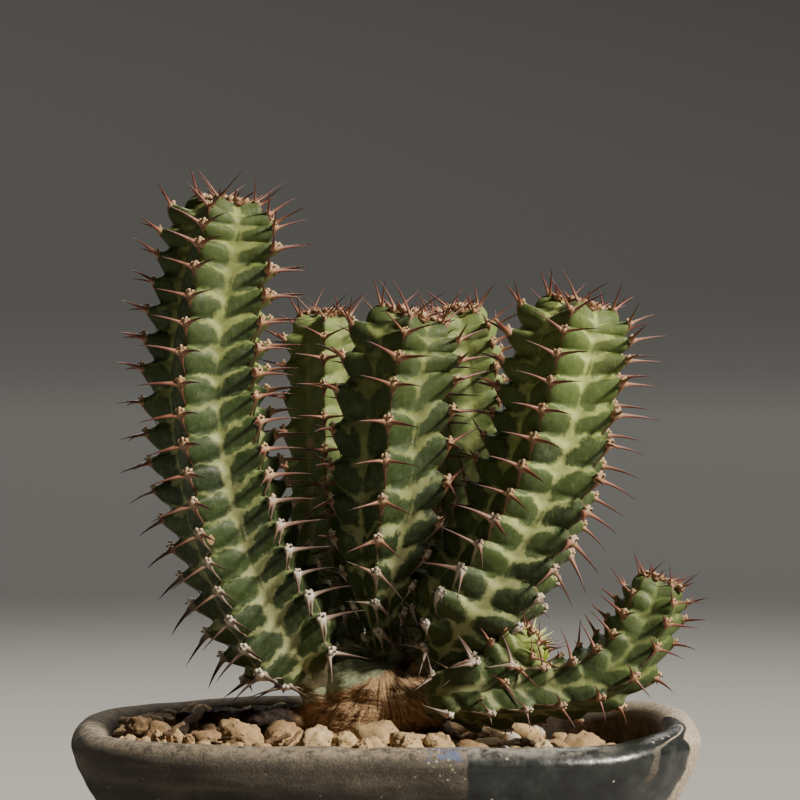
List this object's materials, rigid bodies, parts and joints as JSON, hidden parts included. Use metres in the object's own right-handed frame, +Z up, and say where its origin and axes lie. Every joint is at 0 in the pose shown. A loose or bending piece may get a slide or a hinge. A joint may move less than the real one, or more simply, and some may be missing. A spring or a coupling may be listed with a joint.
{
  "type": "potted euphorbia",
  "caption": "Clump of ribbed, spiny columnar euphorbia branches on a fibrous rootstock, standing in pumice in a shallow oval stoneware bowl.",
  "frame": {"origin": "on the ground, under the middle of the bowl", "axes": "+Z up, +X to the right along the bowl's long side, -Y towards the front of the plant"},
  "size_m": [0.1328, 0.098, 0.1633],
  "materials": {
    "stoneware": "bare matt clay with a dark gloss glaze over part of the bowl",
    "drain_plastic": "matt black plastic mesh",
    "pumice_soil": "dry porous pumice over gritty soil",
    "bark": "fibrous matt bark",
    "plant_skin": "smooth waxy green skin with a pale net, brown spine shields and red-brown spines"
  },
  "bodies": {
    "root": {"pot": "stoneware", "drain_mesh": "drain_plastic", "soil": "pumice_soil", "caudex": "bark", "stem_left": "plant_skin", "stem_centre": "plant_skin", "stem_right": "plant_skin", "stem_back_left": "plant_skin", "stem_back_right": "plant_skin", "stem_low_right": "plant_skin"}
  },
  "joints": []
}
